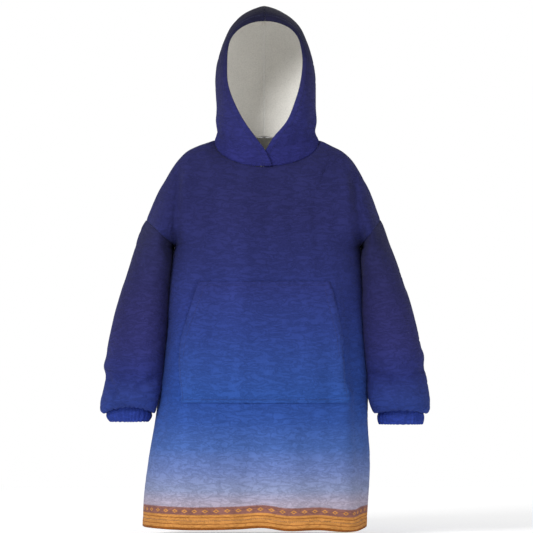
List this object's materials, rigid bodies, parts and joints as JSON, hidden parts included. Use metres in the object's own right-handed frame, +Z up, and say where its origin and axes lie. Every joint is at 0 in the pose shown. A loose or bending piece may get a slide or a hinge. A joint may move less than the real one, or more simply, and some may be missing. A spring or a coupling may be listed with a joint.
{
  "type": "wearable blanket hoodie",
  "caption": "Oversized knee-length hooded fleece garment, worn like a blanket: dropped shoulders, wide sleeves with cuffs, lined hood and a front pouch pocket, standing open as if worn.",
  "frame": {"origin": "middle of the neck ring at the height of the shoulders' inner ends, where the wearer's shoulders hold the garment", "axes": "+Z up; the front faces -Y; +X is the wearer's left"},
  "size_m": [0.7815, 0.3613, 1.2426],
  "materials": {
    "body_cloth": "matte plush, dark blue at the top fading to pale, with a tan border at the hem",
    "sleeve_cloth": "matte plush, dark blue",
    "cuff_cloth": "matte plush, blue",
    "hood_cloth": "matte plush, dark navy",
    "hood_lining": "soft pale grey fleece",
    "pocket_cloth": "matte plush, mid blue"
  },
  "bodies": {
    "root": {"front": "body_cloth", "back": "body_cloth", "sleeve_right": "sleeve_cloth", "sleeve_left": "sleeve_cloth", "cuff_right": "cuff_cloth", "cuff_left": "cuff_cloth", "hood_right": "hood_cloth", "hood_left": "hood_cloth", "hood_lining_right": "hood_lining", "hood_lining_left": "hood_lining", "pocket": "pocket_cloth"}
  },
  "joints": []
}
